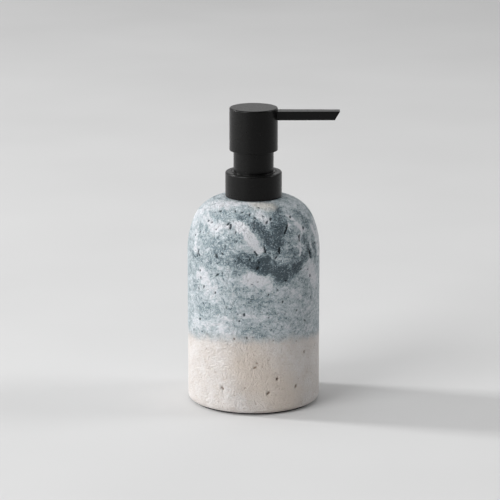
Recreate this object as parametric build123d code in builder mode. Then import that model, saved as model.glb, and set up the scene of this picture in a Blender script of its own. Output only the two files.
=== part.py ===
"""Soap pump dispenser: a cast stone bottle with a screw-on lotion pump.

Millimetres, +Z up. The origin is the centre of the base pad on the surface that the bottle stands
on, and +X is the way the spout points. Everything is drawn with the pump screwed down and its head
up. Pieces are grouped as they go together: bottle, screw collar, pump cylinder, plunger, head.
"""

import os
from math import cos, radians, sin, sqrt

from build123d import *

# --- driving dimensions -------------------------------------------------------------------------

# bottle
body_r = 37.5
bottle_top = 118.6
pad_thick = 1.0
pad_r = 34.4
wall = 5.0
floor_thick = 6.0
foot_round = 2.6
floor_round = 1.5
lead_r = 50.0  # gentle arc that starts the shoulder
lead_turn = 21.3  # degrees
crown_r = 20.4  # tighter arc that closes it onto the flat land
mouth_r = 12.85

# neck insert: the standard 28 mm screw finish with a single-start thread
neck_bore_r = 10.75
neck_root_r = 12.75
neck_crest_r = 13.75
neck_height = 10.6  # land of the bottle to the lip
insert_flange_r = 14.6
insert_flange = 1.0
spigot_deep = 14.0
seal_r = 0.5  # section of the rubber rings round the spigot
seal_pitch = 7.0
thread_pitch = 4.23
thread_sunk = 0.2  # how far a ridge starts inside its wall

# collar
collar_r = 16.0
collar_height = 14.1
collar_lift = 0.3  # clearance over the bottle
shell_wall = 0.65
liner_wall = 1.0
grip_high = 0.25
grip_count = 36

# pump cylinder
gasket_thick = 1.0
flange_r = 12.6
flange_thick = 1.2
cylinder_r = 7.5
cylinder_bore_r = 6.5
tail_r = 4.7
ledge_z = 94.0  # spring seat
chamber_r = 3.3
inlet_r = 1.5
ball_r = 2.5
ball_travel = 1.5
nub_r = 2.2  # circle that the ball's three stops leave free
tube_r = 3.0
tube_bore_r = 2.2
tube_end_z = 9.5
socket_deep = 10.0
vent_r = 0.5

# neck sleeve and stem guide
sleeve_r = 11.35
sleeve_wall = 0.7
sleeve_top = 147.2
foot_r = 12.5  # rolled foot of the sleeve, in the collar's hole
foot_high = 0.7
guide_r = 10.6
guide_wall = 1.0
guide_tube_r = 5.0

# stem, plunger and piston
stem_r = 3.6
stem_bore_r = 2.0
nose_r = 2.9
stroke = 11.5
piston_slip = 1.2
piston_top = 126.0
piston_high = 6.0
hub_r = 4.0
pin_r = 4.3
pin_flange = 1.4
wire_r = 0.45
coil_r = 3.9
coils = 9

# head and spout
head_r = 13.65
head_top = 169.6
head_bottom = 145.2
head_wall = 0.7
head_plate = 0.8
spout_reach = 48.5  # axis of the pump to the tip
spout_root = 8.0
spout_wide = 8.3  # at its root
spout_tip_wide = 6.8
spout_high = 5.0
spout_drop = 1.85  # below the top of the head
spout_wall = 0.7
tip_slant = 2.95  # how much shorter the underside is
tube_inset = 0.6  # nozzle tube's end behind the tip
jet_r = 1.15  # bore of the nozzle tube

slide_fit = 0.05  # radial clearance of a piece that slides or turns in another
press_gap = 0.03  # radial clearance of a piece that is pressed or glued in
grain = 0.4  # edge break of moulded and drawn pieces

# --- places worked out from them ----------------------------------------------------------------

inner_r = body_r - wall
turned = sin(radians(lead_turn))
shoulder_z = bottle_top - lead_r * turned - crown_r * (1 - turned)
inside_floor = pad_thick + floor_thick

flange_top = bottle_top + insert_flange  # of the neck insert
lip_z = bottle_top + neck_height
seat_top = lip_z + gasket_thick  # underside of the pump cylinder's flange
guide_z = seat_top + flange_thick  # top of that flange
collar_z = bottle_top + collar_lift
collar_top = collar_z + collar_height
liner_top = collar_top - shell_wall
liner_r = collar_r - shell_wall - slide_fit - grip_high
liner_bore_r = liner_r - liner_wall
collar_hole_r = foot_r + 0.35
liner_hole_r = sleeve_r + 0.3
foot_z = liner_top + 0.1

pin_z = piston_top - piston_high  # top of the valve pin's flange, where the piston rests
spring_top = pin_z - pin_flange
nose_z = piston_top + piston_slip + 0.1  # shoulder of the stem
plug_z = nose_z + 0.3  # lower end of the stem guide
groove_z = pin_z + 4.4  # snap bead that holds the pin in the stem
nose_end = pin_z + 0.6

core_z = sleeve_top + stroke + 0.6  # underside of the head's core
core_top = head_top - head_plate
stem_top = core_z + 4.9
spout_top = head_top - spout_drop
spout_mid = spout_top - spout_high / 2

os.makedirs("parts", exist_ok=True)


def save(piece, name):
    """Labels a finished piece and writes its STEP file."""
    piece.part.label = name
    export_step(piece.part, f"parts/{name}.step")


def thread_ridge(root_r, crest_r, root_wide, crest_wide, start_z, start_turn, turns):
    """One helical ridge of trapezoid section between two radii. start_turn is in degrees."""
    with BuildPart() as ridge:
        with BuildLine() as path:
            Helix(pitch=thread_pitch, height=turns * thread_pitch, radius=root_r,
                  center=(0, 0, start_z))
        with BuildSketch(Plane(path.line @ 0, x_dir=(1, 0, 0), z_dir=path.line % 0)):
            with BuildLine():
                Polyline(
                    (0, -root_wide / 2),
                    (crest_r - root_r, -crest_wide / 2),
                    (crest_r - root_r, crest_wide / 2),
                    (0, root_wide / 2),
                    close=True,
                )
            make_face()
        sweep(path=path.line, is_frenet=True)
    return ridge.part.rotate(Axis.Z, start_turn)


# --- bottle -------------------------------------------------------------------------------------

# A foam disc is stuck under the bottle. It is smaller than the foot, so a thin gap shows round it.
with BuildPart() as base_pad:
    with BuildSketch():
        Circle(pad_r)
    extrude(amount=pad_thick)
    fillet(base_pad.edges().group_by(Axis.Z)[0], 0.2)
save(base_pad, "base_pad")

# The bottle is one hollow casting. Its inside follows the outside one wall further in.
with BuildPart() as bottle_body:
    with BuildSketch(Plane.XZ):
        with BuildLine():
            foot = Line((0, pad_thick), (body_r, pad_thick))
            side = Line(foot @ 1, (body_r, shoulder_z))
            lead = JernArc(side @ 1, (0, 1), lead_r, lead_turn)
            crown = JernArc(lead @ 1, lead % 1, crown_r, 90 - lead_turn)
            Polyline(crown @ 1, (0, bottle_top), (0, pad_thick))
        make_face()
    revolve(axis=Axis.Z)
    with BuildSketch(Plane.XZ):
        with BuildLine():
            deep = Line((0, inside_floor), (inner_r, inside_floor))
            rise = Line(deep @ 1, (inner_r, shoulder_z))
            lead_in = JernArc(rise @ 1, (0, 1), lead_r - wall, lead_turn)
            crown_in = JernArc(lead_in @ 1, lead_in % 1, crown_r - wall, 90 - lead_turn)
            Polyline(crown_in @ 1, (0, bottle_top - wall), (0, inside_floor))
        make_face()
    revolve(axis=Axis.Z, mode=Mode.SUBTRACT)
    with BuildSketch(Plane.XY.offset(bottle_top - wall)):
        Circle(mouth_r)
    extrude(amount=wall, mode=Mode.SUBTRACT)
    fillet(bottle_body.edges().group_by(Axis.Z)[0], foot_round)
    rounds = bottle_body.edges().filter_by(GeomType.CIRCLE)
    fillet(rounds.filter_by(lambda edge: abs(edge.center().Z - inside_floor) < 0.01), floor_round)
    rounds = bottle_body.edges().filter_by(GeomType.CIRCLE)
    chamfer(rounds.group_by(Axis.Z)[-1].sort_by(SortBy.RADIUS)[0], grain)
save(bottle_body, "bottle_body")

# A threaded plastic neck is glued into the casting's mouth, with two grooves for rubber rings.
spigot_r = mouth_r - press_gap
seal_mid_z = bottle_top - spigot_deep / 2
groove_deep = 2 * seal_r + 0.01
neck_thread_z = flange_top + 2.6
neck_thread = thread_ridge(neck_root_r - thread_sunk, neck_crest_r, 2.3, 1.2, neck_thread_z, 0, 1.1)
with BuildPart() as neck_insert:
    with BuildSketch(Plane.XZ):
        with BuildLine():
            Polyline(
                (neck_bore_r, bottle_top - spigot_deep),
                (spigot_r - grain, bottle_top - spigot_deep),
                (spigot_r, bottle_top - spigot_deep + grain),
                (spigot_r, bottle_top),
                (insert_flange_r, bottle_top),
                (insert_flange_r, flange_top),
                (neck_root_r, flange_top),
                (neck_root_r, lip_z - grain),
                (neck_root_r - grain, lip_z),
                (neck_bore_r + grain, lip_z),
                (neck_bore_r, lip_z - grain),
                close=True,
            )
        make_face()
    revolve(axis=Axis.Z)
    with BuildSketch(Plane.XZ):
        with Locations((spigot_r - groove_deep / 2, seal_mid_z)):
            with GridLocations(0, seal_pitch, 1, 2):
                Rectangle(groove_deep, 1.4)
    revolve(axis=Axis.Z, mode=Mode.SUBTRACT)
    add(neck_thread)
save(neck_insert, "neck_insert")

# The two rings centre the neck in the rough casting and keep the glue back.
with BuildPart() as insert_seals:
    with Locations((0, 0, seal_mid_z - seal_pitch / 2), (0, 0, seal_mid_z + seal_pitch / 2)):
        Torus(spigot_r - seal_r, seal_r)
save(insert_seals, "insert_seals")

# --- screw collar -------------------------------------------------------------------------------

# The outside of the collar is a drawn metal cup with a hole for the neck sleeve.
with BuildPart() as collar_shell:
    with BuildSketch(Plane.XZ):
        with BuildLine():
            Polyline(
                (collar_r - shell_wall, collar_z),
                (collar_r, collar_z),
                (collar_r, collar_top),
                (collar_hole_r, collar_top),
                (collar_hole_r, liner_top),
                (collar_r - shell_wall, liner_top),
                close=True,
            )
        make_face()
    revolve(axis=Axis.Z)
    rims = collar_shell.edges().group_by(Axis.Z)[-1].sort_by(SortBy.RADIUS)
    fillet(rims[-1], 0.9)
    fillet(collar_shell.edges().group_by(Axis.Z)[-1].sort_by(SortBy.RADIUS)[0], 0.25)
    fillet(collar_shell.edges().group_by(Axis.Z)[0].sort_by(SortBy.RADIUS)[-1], 0.25)
save(collar_shell, "collar_shell")

# Inside it a moulded liner carries the female thread. Fine ribs grip the metal cup. Its thread
# lies under the neck's, with a small gap between the flanks that pull the collar down.
liner_thread_r = neck_root_r + 0.3
liner_thread_z = neck_thread_z + 0.3
flank_step = 1.65  # from the middle of the neck's ridge down to the middle of this one
liner_turn = (liner_thread_z + flank_step - neck_thread_z) / thread_pitch * 360
liner_thread = thread_ridge(liner_bore_r + thread_sunk, liner_thread_r, 1.9, 1.0, liner_thread_z,
                            liner_turn, 1.0)
liner_z = flange_top + 0.3
with BuildPart() as collar_liner:
    with BuildSketch(Plane.XZ):
        with BuildLine():
            Polyline(
                (liner_bore_r, liner_z),
                (liner_r, liner_z),
                (liner_r, liner_top),
                (liner_hole_r, liner_top),
                (liner_hole_r, guide_z + slide_fit),
                (liner_bore_r, guide_z + slide_fit),
                close=True,
            )
        make_face()
    revolve(axis=Axis.Z)
    with BuildSketch(Plane.XY.offset(liner_z)):
        with PolarLocations(liner_r, grip_count):
            Rectangle(2 * grip_high - 0.02, 0.8)
    extrude(amount=liner_top - liner_z)
    add(liner_thread)
save(collar_liner, "collar_liner")

# --- pump cylinder ------------------------------------------------------------------------------

with BuildPart() as neck_gasket:
    with BuildSketch(Plane.XY.offset(lip_z)):
        Circle(flange_r)
        Circle(cylinder_r + 0.2, mode=Mode.SUBTRACT)
    extrude(amount=gasket_thick)
save(neck_gasket, "neck_gasket")

# The cylinder hangs in the neck by its flange. At its foot the ball sits on a 45 degree cone,
# under three nubs that stop it, and the dip tube is pushed into the tail from below.
cone_z = ledge_z - 7.4  # where the inlet meets the cone
touch_r = ball_r * cos(radians(45))
ball_z = cone_z + (touch_r - inlet_r) + touch_r + slide_fit * sqrt(2)
nub_z = ball_z + ball_travel + sqrt(ball_r**2 - nub_r**2) + slide_fit
socket_top = cone_z - 1.2
tail_z = socket_top - socket_deep
socket_r = tube_r + press_gap
web_z = ledge_z - 9.0
with BuildPart() as pump_housing:
    with BuildSketch(Plane.XZ):
        with BuildLine():
            Polyline(
                (socket_r, tail_z),
                (tail_r, tail_z),
                (tail_r, ledge_z - 5.0),
                (cylinder_r, ledge_z - 1.6),
                (cylinder_r, seat_top),
                (flange_r, seat_top),
                (flange_r, guide_z),
                (cylinder_bore_r, guide_z),
                (cylinder_bore_r, ledge_z),
                (chamber_r, ledge_z),
                (chamber_r, cone_z + chamber_r - inlet_r),
                (inlet_r, cone_z),
                (inlet_r, socket_top),
                (socket_r, socket_top),
                close=True,
            )
        make_face()
    revolve(axis=Axis.Z)
    with BuildSketch(Plane.XY.offset(nub_z)):
        with PolarLocations((chamber_r + nub_r) / 2 + 0.1, 3):
            Rectangle(chamber_r - nub_r + 0.2, 1.0)
    extrude(amount=0.8)
    # four webs stiffen the step from the tail to the cylinder
    with BuildSketch(Plane.XY.offset(web_z)):
        with PolarLocations(tail_r + 0.9, 4, start_angle=45):
            Rectangle(2.2, 1.0)
    extrude(amount=6.5)
    # vent between the piston's lips, which lets air into the bottle once the piston is down
    with BuildSketch(Plane.YZ.offset(-cylinder_r - 1)):
        with Locations((0, piston_top - 1.6)):
            Circle(vent_r)
    extrude(amount=3, mode=Mode.SUBTRACT)
save(pump_housing, "pump_housing")

with BuildPart() as inlet_ball:
    with Locations((0, 0, ball_z)):
        Sphere(ball_r)
save(inlet_ball, "inlet_ball")

# The dip tube's lower end is cut at a slant, so that it can't seal itself on the floor.
with BuildPart() as dip_tube:
    with BuildSketch(Plane.XY.offset(tube_end_z)):
        Circle(tube_r)
        Circle(tube_bore_r, mode=Mode.SUBTRACT)
    extrude(amount=socket_top - 0.1 - tube_end_z)
    split(bisect_by=Plane((0, 0, tube_end_z + tube_r), z_dir=(-1, 0, 1)), keep=Keep.TOP)
save(dip_tube, "dip_tube")

# The stem guide snaps into the cylinder's mouth: a plug, a flange, and a ribbed double wall.
guide_bore_r = stem_r + 0.1
plug_r = cylinder_bore_r - slide_fit
guide_top = sleeve_top - sleeve_wall - 0.1
guide_rim = guide_top - 0.7
guide_floor = guide_z + 1.0
rib_long = guide_r - guide_wall - guide_tube_r + 0.6
with BuildPart() as stem_guide:
    with BuildSketch(Plane.XZ):
        with BuildLine():
            Polyline(
                (guide_bore_r, plug_z),
                (plug_r - grain, plug_z),
                (plug_r, plug_z + grain),
                (plug_r, guide_z),
                (guide_r, guide_z),
                (guide_r, guide_rim),
                (guide_r - guide_wall, guide_rim),
                (guide_r - guide_wall, guide_floor),
                (guide_tube_r, guide_floor),
                (guide_tube_r, guide_top),
                (guide_bore_r + grain, guide_top),
                (guide_bore_r, guide_top - grain),
                close=True,
            )
        make_face()
    revolve(axis=Axis.Z)
    with BuildSketch(Plane.XY.offset(guide_floor)):
        with PolarLocations(guide_tube_r + rib_long / 2 - 0.3, 6):
            Rectangle(rib_long, 0.9)
    extrude(amount=guide_rim - 1.5 - guide_floor)
save(stem_guide, "stem_guide")

# The neck sleeve is the drawn metal skin of the stem guide. Its rolled foot shows as a thin ring in
# the collar's hole.
sleeve_hole_r = stem_r + 0.6
with BuildPart() as neck_sleeve:
    with BuildSketch(Plane.XZ):
        with BuildLine():
            Polyline(
                (guide_r + press_gap, guide_z + 0.1),
                (sleeve_r, guide_z + 0.1),
                (sleeve_r, foot_z),
                (foot_r, foot_z),
                (foot_r, foot_z + foot_high),
                (sleeve_r, foot_z + foot_high),
                (sleeve_r, sleeve_top),
                (sleeve_hole_r, sleeve_top),
                (sleeve_hole_r, sleeve_top - sleeve_wall),
                (guide_r + press_gap, sleeve_top - sleeve_wall),
                close=True,
            )
        make_face()
    revolve(axis=Axis.Z)
    fillet(neck_sleeve.edges().group_by(Axis.Z)[-1].sort_by(SortBy.RADIUS)[-1], 0.5)
    fillet(neck_sleeve.edges().filter_by(GeomType.CIRCLE).group_by(SortBy.RADIUS)[-1], 0.3)
save(neck_sleeve, "neck_sleeve")

# --- plunger ------------------------------------------------------------------------------------

# The spring stands on the ledge and pushes the valve pin up.
spring_foot = ledge_z + wire_r + slide_fit
spring_high = spring_top - slide_fit - wire_r - spring_foot
with BuildPart() as return_spring:
    with BuildLine() as coil:
        Helix(pitch=spring_high / coils, height=spring_high, radius=coil_r,
              center=(0, 0, spring_foot))
    with BuildSketch(Plane(coil.line @ 0, x_dir=(1, 0, 0), z_dir=coil.line % 0)):
        Circle(wire_r)
    sweep(path=coil.line, is_frenet=True)
save(return_spring, "return_spring")

# The valve pin: a spring guide below, a sealing flange, and a cross-shaped shank that snaps into
# the stem and leaves four ways for the soap.
shank_r = stem_bore_r - slide_fit
shank_top = nose_z - 0.3
bead = 0.2
with BuildPart() as valve_pin:
    with BuildSketch(Plane.XZ):
        with BuildLine():
            Polyline(
                (0, spring_top - 8.6),
                (1.6, spring_top - 8.6),
                (2.6, spring_top - 7.0),
                (2.6, spring_top),
                (pin_r, spring_top),
                (pin_r, pin_z - grain),
                (pin_r - grain, pin_z),
                (shank_r, pin_z),
                (shank_r, groove_z - 0.3),
                (shank_r + bead, groove_z),
                (shank_r, groove_z + 0.3),
                (shank_r, shank_top - grain),
                (shank_r - grain, shank_top),
                (0, shank_top),
                close=True,
            )
        make_face()
    revolve(axis=Axis.Z)
    with BuildSketch(Plane.XY.offset(pin_z)):
        with GridLocations(2.4, 2.4, 2, 2):
            Rectangle(1.6, 1.6)
    extrude(amount=shank_top - pin_z, mode=Mode.SUBTRACT)
save(valve_pin, "valve_pin")

# The piston floats on the stem's nose between the pin's flange and the stem's shoulder. Its two
# lips wipe the cylinder, and its two halves are alike.
lip_r = cylinder_bore_r - slide_fit
skirt_r = lip_r - 1.05
piston_half = [
    (nose_r + 0.07, pin_z),
    (hub_r, pin_z),
    (hub_r, pin_z + 2.4),
    (skirt_r, pin_z + 2.4),
    (skirt_r, pin_z + 1.2),
    (lip_r - 0.25, pin_z + 0.2),
    (lip_r, pin_z + 0.2),
    (lip_r, pin_z + 0.9),
    (lip_r - 0.25, pin_z + 1.6),
]
piston_other = [(r, pin_z + piston_top - z) for r, z in reversed(piston_half)]
with BuildPart() as piston:
    with BuildSketch(Plane.XZ):
        with BuildLine():
            Polyline(*piston_half, *piston_other, close=True)
        make_face()
    revolve(axis=Axis.Z)
save(piston, "piston")

# --- head ---------------------------------------------------------------------------------------

# The stem is the hollow plunger rod. A groove in its nose takes the valve pin's bead.
with BuildPart() as stem:
    with BuildSketch(Plane.XZ):
        with BuildLine():
            Polyline(
                (stem_bore_r, nose_end),
                (nose_r, nose_end),
                (nose_r, nose_z),
                (stem_r, nose_z),
                (stem_r, stem_top - grain),
                (stem_r - grain, stem_top),
                (stem_bore_r, stem_top),
                (stem_bore_r, groove_z + 0.5),
                (stem_bore_r + bead + slide_fit, groove_z + 0.2),
                (stem_bore_r + bead + slide_fit, groove_z - 0.2),
                (stem_bore_r, groove_z - 0.5),
                close=True,
            )
        make_face()
    revolve(axis=Axis.Z)
save(stem, "stem")

# The head's shell is a drawn metal cap with a window for the spout.
with BuildPart() as head_shell:
    with BuildSketch(Plane.XZ):
        with BuildLine():
            Polyline(
                (head_r - head_wall, head_bottom),
                (head_r, head_bottom),
                (head_r, head_top),
                (0, head_top),
                (0, core_top),
                (head_r - head_wall, core_top),
                close=True,
            )
        make_face()
    revolve(axis=Axis.Z)
    fillet(head_shell.edges().group_by(Axis.Z)[-1], 0.8)
    fillet(head_shell.edges().group_by(Axis.Z)[0].sort_by(SortBy.RADIUS)[-1], 0.3)
    with BuildSketch(Plane.YZ.offset(head_r / 2)):
        with Locations((0, spout_mid)):
            RectangleRounded(spout_wide + 0.1, spout_high + 0.2, grain)
    extrude(amount=head_r, mode=Mode.SUBTRACT)
save(head_shell, "head_shell")


def spout_bar(inset, start_x, end_x):
    """The spout's tapered bar between two places along it, inset mm smaller all round."""
    taper = (spout_wide - spout_tip_wide) / 2 / (spout_reach - spout_root)
    near = spout_wide / 2 - taper * (start_x - spout_root) - inset
    far = spout_wide / 2 - taper * (end_x - spout_root) - inset
    with BuildPart() as bar:
        with BuildSketch(Plane.XY.offset(spout_mid - spout_high / 2 + inset)):
            with BuildLine():
                Polyline((start_x, -near), (end_x, -far), (end_x, far), (start_x, near), close=True)
            make_face()
        extrude(amount=spout_high - 2 * inset)
        fillet(bar.edges().filter_by(lambda edge: abs(edge.tangent_at(0.5).X) > 0.9), grain)
    return bar.part


# The tip is cut on a slant, longest at the top.
tip_cut = Plane((spout_reach, 0, spout_top), x_dir=(0, 1, 0), z_dir=(spout_high, 0, -tip_slant))

spout_outside = spout_bar(0, spout_root, spout_reach + 1)
spout_inside = spout_bar(spout_wall, spout_root - 1, spout_reach + 2)
with BuildPart() as spout:
    add(spout_outside)
    add(spout_inside, mode=Mode.SUBTRACT)
    split(bisect_by=tip_cut, keep=Keep.BOTTOM)
save(spout, "spout")

# A moulded tube carries the soap through the spout and ends just inside its tip.
tube_outside = spout_bar(spout_wall + press_gap, spout_root, spout_reach + 1)
with BuildPart() as nozzle_tube:
    add(tube_outside)
    with BuildSketch(Plane.YZ.offset(spout_root - 1)):
        with Locations((0, spout_mid)):
            Circle(jet_r)
    extrude(amount=spout_reach, mode=Mode.SUBTRACT)
    split(bisect_by=tip_cut.offset(-tube_inset), keep=Keep.BOTTOM)
save(nozzle_tube, "nozzle_tube")

# The core joins stem, spout and shell: a ribbed cup with a boss for the stem and a block that the
# spout is pushed into.
core_r = head_r - head_wall - press_gap
core_rim = 1.0
core_floor = core_z + 1.4
boss_r = 5.6
spout_pocket = spout_bar(-press_gap, spout_root, head_r + 1)
with BuildPart() as head_core:
    with BuildSketch(Plane.XZ):
        with BuildLine():
            Polyline(
                (0, core_z),
                (core_r, core_z),
                (core_r, core_top),
                (core_r - core_rim, core_top),
                (core_r - core_rim, core_floor),
                (boss_r, core_floor),
                (boss_r, core_top),
                (0, core_top),
                close=True,
            )
        make_face()
    revolve(axis=Axis.Z)
    with BuildSketch(Plane.XY.offset(core_z)):
        with PolarLocations((core_r + boss_r - core_rim) / 2, 5, start_angle=60, angular_range=240):
            Rectangle(core_r - boss_r, 1.0)
    extrude(amount=core_top - 1.5 - core_z)
    with BuildSketch(Plane.XY.offset(core_z)):
        with Locations((core_r / 2, 0)):
            Rectangle(core_r, spout_wide + 2.4)
        Circle(core_r, mode=Mode.INTERSECT)
    extrude(amount=core_top - core_z)
    add(spout_pocket, mode=Mode.SUBTRACT)
    # socket for the stem, then the way up and along to the nozzle tube
    with BuildSketch(Plane.XY.offset(core_z)):
        Circle(stem_r + press_gap)
    extrude(amount=stem_top - core_z, mode=Mode.SUBTRACT)
    with BuildSketch(Plane.XY.offset(core_z)):
        Circle(stem_bore_r)
    extrude(amount=spout_mid - core_z, mode=Mode.SUBTRACT)
    with BuildSketch(Plane.YZ):
        with Locations((0, spout_mid)):
            Circle(jet_r)
    extrude(amount=spout_root + 0.1, mode=Mode.SUBTRACT)
save(head_core, "head_core")
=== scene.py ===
from math import cos, pi, radians, sin, tan

import bpy
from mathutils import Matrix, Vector


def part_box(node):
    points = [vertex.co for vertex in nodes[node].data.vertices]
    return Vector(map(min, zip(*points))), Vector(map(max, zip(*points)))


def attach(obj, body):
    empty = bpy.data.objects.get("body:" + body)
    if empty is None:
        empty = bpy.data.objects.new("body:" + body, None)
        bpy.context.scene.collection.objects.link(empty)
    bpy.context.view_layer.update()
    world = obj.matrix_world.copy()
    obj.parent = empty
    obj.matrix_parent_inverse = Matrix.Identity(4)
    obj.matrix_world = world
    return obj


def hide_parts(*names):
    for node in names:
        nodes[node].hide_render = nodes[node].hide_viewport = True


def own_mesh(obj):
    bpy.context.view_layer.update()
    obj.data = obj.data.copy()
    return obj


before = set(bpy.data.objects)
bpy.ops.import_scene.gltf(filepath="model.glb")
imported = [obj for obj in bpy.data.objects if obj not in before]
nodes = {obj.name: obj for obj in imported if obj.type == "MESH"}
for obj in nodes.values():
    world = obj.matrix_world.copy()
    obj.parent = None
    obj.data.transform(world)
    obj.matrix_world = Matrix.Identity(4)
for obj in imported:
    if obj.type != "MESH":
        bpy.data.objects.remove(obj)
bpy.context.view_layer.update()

MM = 0.001

# --- bottle body --------------------------------------------------------------------------------
# A hollow casting of stone powder in resin, poured in two lots: sand-coloured below, marbled slate
# and white above. Air bubbles at the mould's wall left open pits and slits, and the skin was sealed
# matt. The bottle is drawn as its outline, turned round the axis by a node tree that adds the pits.


def linear(code):
    """An sRGB hex colour as linear RGBA."""
    parts = [int(code[i:i + 2], 16) / 255 for i in (1, 3, 5)]
    return [p / 12.92 if p <= 0.04045 else ((p + 0.055) / 1.055) ** 2.4 for p in parts] + [1.0]


def add(tree, kind, *values, inputs={}, stops=(), **settings):
    """Adds a node to a tree; an operation may follow its kind after a dot. values feed its sockets
    in order and inputs feeds them by name: each is a plain value, or the node or socket to link
    from. stops are a colour ramp's, as (place, sRGB hex)."""
    kind, _, operation = kind.partition(".")
    node = tree.nodes.new(kind)
    if operation:
        node.operation = operation
    for name, value in settings.items():
        setattr(node, name, value)
    for key, value in [*enumerate(values), *inputs.items()]:
        if isinstance(value, bpy.types.Node):
            value = next(output for output in value.outputs if output.enabled)
        if isinstance(value, bpy.types.NodeSocket):
            tree.links.new(value, node.inputs[key])
        else:
            node.inputs[key].default_value = value
    for number, (place, code) in enumerate(stops):
        stripes = node.color_ramp.elements
        stripe = stripes[number] if number < 2 else stripes.new(place)
        stripe.position = place
        stripe.color = linear(code)
    return node


def new_material(name):
    """An empty material: it, its tree, its shader, and Object coordinates in millimetres."""
    material = bpy.data.materials.new(name)
    material.use_nodes = True
    tree = material.node_tree
    in_metres = add(tree, "ShaderNodeTexCoord").outputs["Object"]
    in_mm = add(tree, "ShaderNodeVectorMath.SCALE", in_metres, inputs={"Scale": 1 / MM})
    return material, tree, tree.nodes["Principled BSDF"], in_mm


def new_tree(name, sizes):
    """A geometry node tree with a Geometry input and output and named number inputs."""
    tree = bpy.data.node_groups.new(name, "GeometryNodeTree")
    tree.interface.new_socket("Geometry", in_out="INPUT", socket_type="NodeSocketGeometry")
    for label, value in sizes.items():
        kind = "NodeSocketInt" if isinstance(value, int) else "NodeSocketFloat"
        tree.interface.new_socket(label, in_out="INPUT", socket_type=kind)
    tree.interface.new_socket("Geometry", in_out="OUTPUT", socket_type="NodeSocketGeometry")
    return tree, add(tree, "NodeGroupInput").outputs


def grown(name, data, tree, sizes):
    """Runs a geometry node tree on a mesh or curve and returns a plain mesh object."""
    seed_object = bpy.data.objects.new(name, data)
    bpy.context.scene.collection.objects.link(seed_object)
    modifier = seed_object.modifiers.new("Grow", "NODES")
    modifier.node_group = tree
    for item in tree.interface.items_tree:
        if item.in_out == "INPUT" and item.name in sizes:
            modifier[item.identifier] = sizes[item.name]
    bpy.context.view_layer.update()
    graph = bpy.context.evaluated_depsgraph_get()
    mesh = bpy.data.meshes.new_from_object(seed_object.evaluated_get(graph))
    bpy.data.objects.remove(seed_object)
    mesh.name = name
    piece = bpy.data.objects.new(name, mesh)
    bpy.context.scene.collection.objects.link(piece)
    return piece


low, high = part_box("bottle_body")
body_r = high.x / MM
foot_z = low.z / MM
top_z = high.z / MM
wall = 5.0
floor_z = foot_z + 6.0
foot_round = 2.6
land_r = 15.1  # where the shoulder meets the flat land round the mouth
mouth_r = 12.85
rim_break = 0.4
lead_r = 50.0
lead_turn = radians(21.3)
crown_r = 20.4
shoulder_z = top_z - lead_r * sin(lead_turn) - crown_r * (1 - sin(lead_turn))
bend = Vector((body_r - lead_r + lead_r * cos(lead_turn), shoulder_z + lead_r * sin(lead_turn)))
inner_bend = bend - Vector((cos(lead_turn), sin(lead_turn))) * wall


def outline(parts):
    """A curve object's data with one spline for each part. A part is a list of corners: (r, z),
    or where an arc ends there, (r, z, start, turn, radius), start being the way it sets off."""
    curve = bpy.data.curves.new("bottle_outline", "CURVE")
    curve.dimensions = "3D"
    for corners in parts:
        spline = curve.splines.new("BEZIER")
        spline.bezier_points.add(len(corners) - 1)
        points = spline.bezier_points
        for point, corner in zip(points, corners):
            point.co = Vector((corner[0], 0, corner[1])) * MM
            point.handle_left_type = point.handle_right_type = "VECTOR"
        for before, point, corner in zip(points, points[1:], corners[1:]):
            if len(corner) > 2:
                start, turn, radius = corner[2:]
                reach = 4 / 3 * tan(abs(turn) / 4) * radius * MM
                before.handle_right_type = point.handle_left_type = "FREE"
                before.handle_right = before.co + Vector((cos(start), 0, sin(start))) * reach
                end = start + turn
                point.handle_left = point.co - Vector((cos(end), 0, sin(end))) * reach
    return curve


foot_edge = (body_r - foot_round, foot_z)
rim = (mouth_r + rim_break, top_z)
mouth_top = (mouth_r, top_z - rim_break)
mouth_end = (mouth_r, top_z - wall)
ceiling_edge = (land_r, top_z - wall)
shoulder_end = (body_r - wall, shoulder_z)
inner_foot = (body_r - wall, floor_z)
bottle_outline = outline([
    [(0, foot_z), foot_edge],
    [
        foot_edge,
        (body_r, foot_z + foot_round, 0, pi / 2, foot_round),
        (body_r, shoulder_z),
        (bend.x, bend.y, pi / 2, lead_turn, lead_r),
        (land_r, top_z, pi / 2 + lead_turn, pi / 2 - lead_turn, crown_r),
        rim,
    ],
    [rim, mouth_top],
    [mouth_top, mouth_end],
    [mouth_end, ceiling_edge],
    [
        ceiling_edge,
        (inner_bend.x, inner_bend.y, 0, lead_turn - pi / 2, crown_r - wall),
        (*shoulder_end, lead_turn - pi / 2, -lead_turn, lead_r - wall),
    ],
    [shoulder_end, inner_foot],
    [inner_foot, (0, floor_z)],
])

# Slits that the mould left open, each a short line on the skin: turn round the axis from the front
# in degrees, height, length and slant from upright.
slits = [
    (33, 106, 5.5, 38), (-57, 90.5, 4.0, 15), (-23, 108, 2.4, -10), (2, 94, 2.4, -32),
    (10, 96, 2.2, -8), (23, 95, 2.8, 8), (58, 90, 5.0, -12), (46, 100, 3.0, 20),
    (118, 84, 4.5, 12), (171, 98, 5.0, -24), (-132, 72, 4.0, 18), (-104, 101, 3.4, -30),
    (146, 62, 3.2, 8), (-160, 88, 3.8, 26), (13, 13, 1.2, 60), (-28, 15, 1.2, -50),
    (40, 15, 1.0, 30), (21, 21, 0.8, 40), (-150, 24, 1.2, 70), (110, 14, 1.0, -40),
]


def skin_point(turn, height):
    """The point of the bottle's outside at a turn in degrees from the front and a height, in mm."""
    if height < shoulder_z:
        radius = body_r
    elif height < bend.y:
        radius = body_r - lead_r + (lead_r**2 - (height - shoulder_z) ** 2) ** 0.5
    else:
        radius = land_r + (crown_r**2 - (height - top_z + crown_r) ** 2) ** 0.5
    return Vector((radius * sin(radians(turn)), -radius * cos(radians(turn)), height))


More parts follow.
